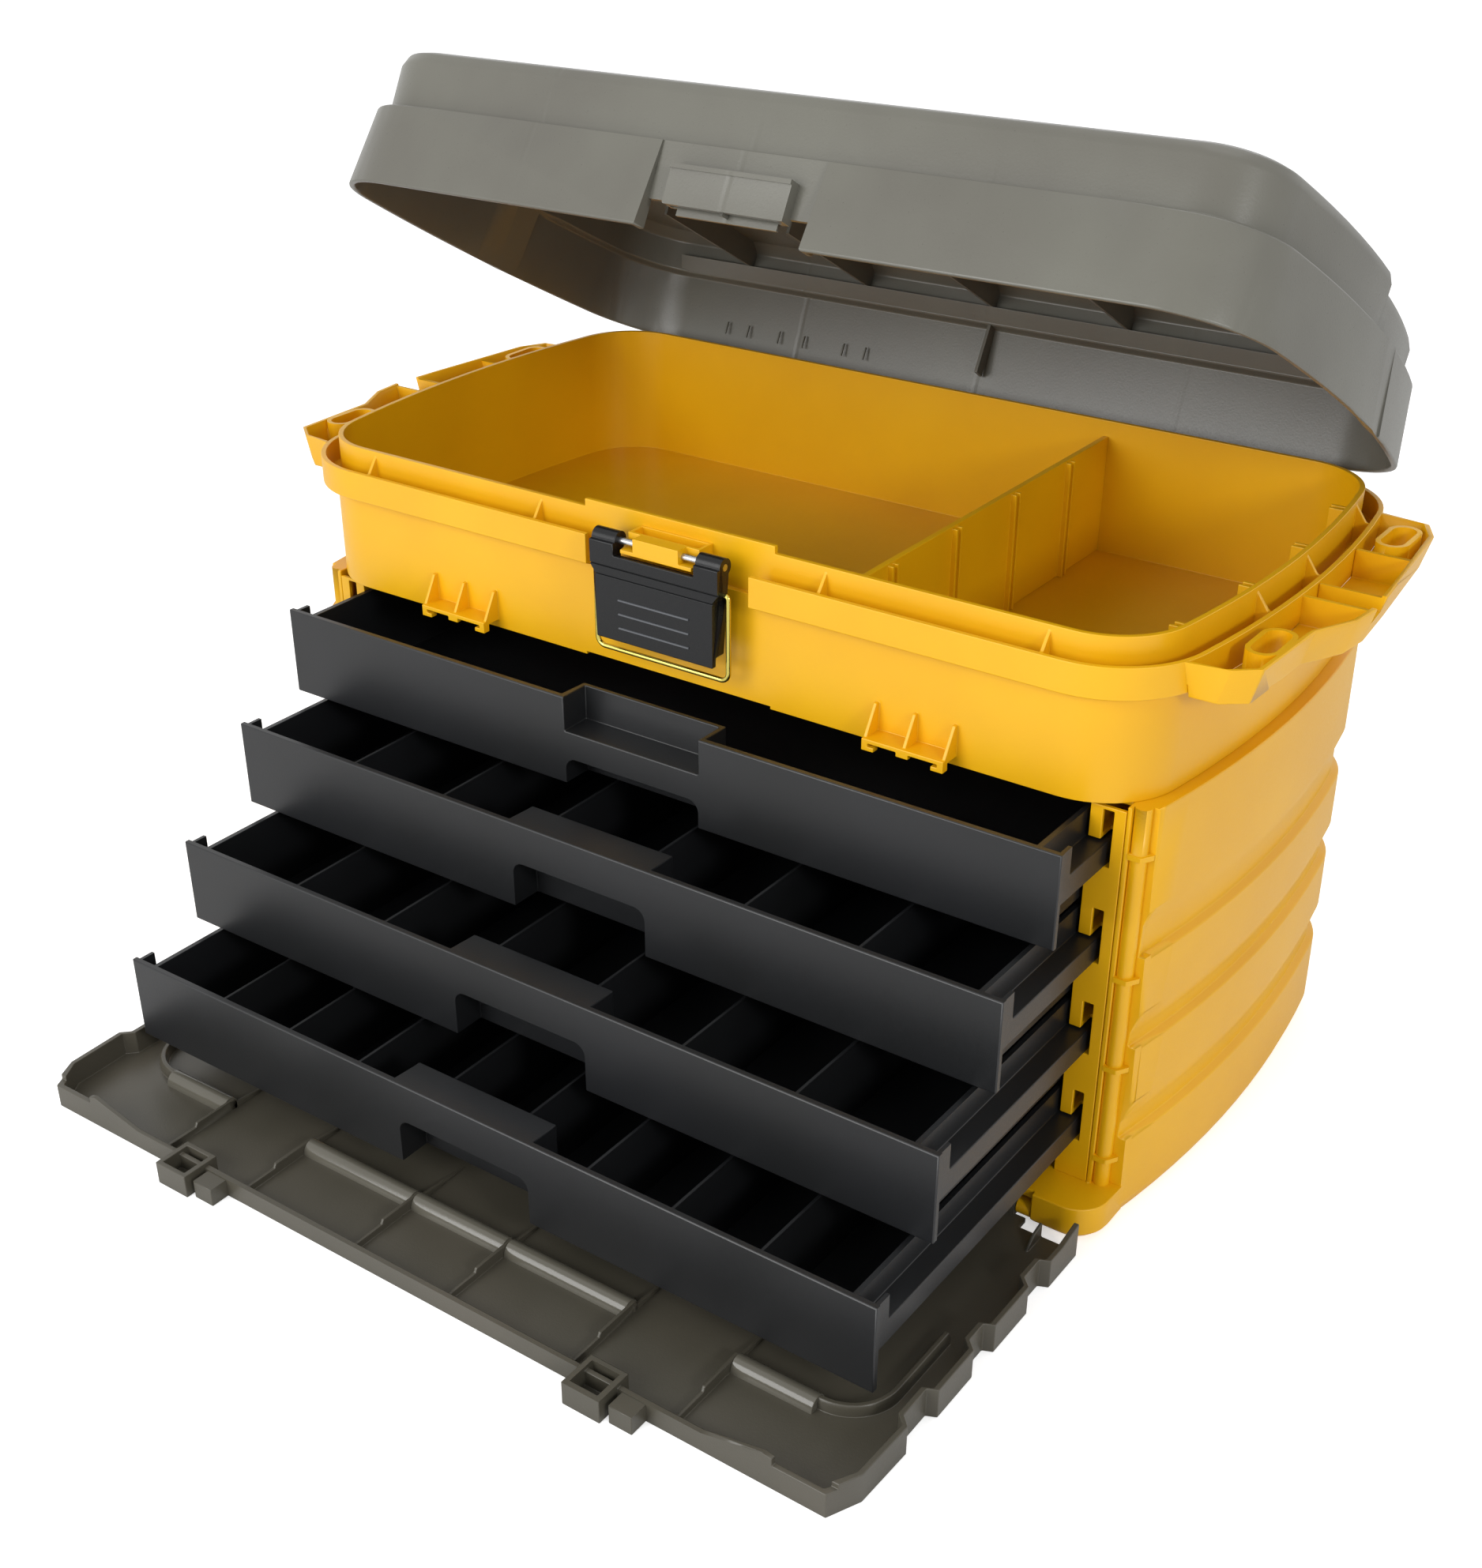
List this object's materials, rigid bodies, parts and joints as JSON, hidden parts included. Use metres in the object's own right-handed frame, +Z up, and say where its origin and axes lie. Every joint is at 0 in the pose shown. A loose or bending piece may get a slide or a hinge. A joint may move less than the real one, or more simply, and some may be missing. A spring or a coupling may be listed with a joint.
{
  "type": "tool chest",
  "caption": "portable plastic tool chest with a hinged lid over an open tub, sliding divided drawers and a fold-down front door, shown half open",
  "frame": {"origin": "on the ground under the middle of the case, halfway between its front and back skirts", "axes": "+X to the right of the case, +Y to its back, +Z up"},
  "size_m": [0.5518, 0.5056, 0.4534],
  "materials": {
    "case_plastic": "warm yellow moulded polypropylene, fine matt grain",
    "lid_plastic": "warm dark grey moulded polypropylene, satin",
    "drawer_plastic": "charcoal moulded polypropylene, satin",
    "latch_plastic": "black moulded plastic, satin",
    "bail_wire": "pale gold plated wire",
    "pin_steel": "plain bright steel"
  },
  "bodies": {
    "case": {"top_tub": "case_plastic", "latch_bracket": "case_plastic", "tub_partition": "case_plastic", "left_side_rack": "case_plastic", "right_side_rack": "case_plastic", "cabinet_shell": "case_plastic", "left_drawer_guide": "case_plastic", "right_drawer_guide": "case_plastic", "latch_pin": "pin_steel", "left_lid_hinge_pin": "pin_steel", "right_lid_hinge_pin": "pin_steel", "left_door_hinge_pin": "pin_steel", "right_door_hinge_pin": "pin_steel"},
    "lid": {"lid_shell": "lid_plastic", "left_handle_pin": "pin_steel", "right_handle_pin": "pin_steel"},
    "handle": {"carry_handle": "latch_plastic"},
    "latch": {"latch_flap": "latch_plastic"},
    "bail": {"latch_bail": "bail_wire"},
    "door": {"front_door": "lid_plastic"},
    "drawer_a": {"drawer_1": "drawer_plastic"},
    "drawer_b": {"drawer_2": "drawer_plastic", "drawer_2_dividers": "drawer_plastic"},
    "drawer_c": {"drawer_3": "drawer_plastic", "drawer_3_dividers": "drawer_plastic"},
    "drawer_d": {"drawer_4": "drawer_plastic", "drawer_4_dividers": "drawer_plastic"}
  },
  "joints": [
    {"name": "lid_hinge", "type": "hinge", "parent": "case", "child": "lid", "pos_m": [0, 0.138, 0.2636], "axis": [-1, 0, 0], "range_deg": [-28.5, 65]},
    {"name": "handle_pivot", "type": "hinge", "parent": "lid", "child": "handle", "pos_m": [0, 0.00509, 0.41701], "axis": [-1, 0, 0], "range_deg": [0, 90]},
    {"name": "latch_pivot", "type": "hinge", "parent": "case", "child": "latch", "pos_m": [0, -0.137, 0.276], "axis": [-1, 0, 0], "range_deg": [0, 110]},
    {"name": "bail_pivot", "type": "hinge", "parent": "latch", "child": "bail", "pos_m": [0, -0.137, 0.263], "axis": [1, 0, 0], "range_deg": [-185, 0]},
    {"name": "door_hinge", "type": "hinge", "parent": "case", "child": "door", "pos_m": [0, -0.136, 0.006], "axis": [1, 0, 0], "range_deg": [-1.5, 0]},
    {"name": "drawer_1_slide", "type": "slide", "parent": "case", "child": "drawer_a", "axis": [0, -1, 0], "range_m": [-0.04, 0.145]},
    {"name": "drawer_2_slide", "type": "slide", "parent": "case", "child": "drawer_b", "axis": [0, -1, 0], "range_m": [-0.0805, 0.1045]},
    {"name": "drawer_3_slide", "type": "slide", "parent": "case", "child": "drawer_c", "axis": [0, -1, 0], "range_m": [-0.125, 0.06]},
    {"name": "drawer_4_slide", "type": "slide", "parent": "case", "child": "drawer_d", "axis": [0, -1, 0], "range_m": [-0.167, 0.018]}
  ]
}
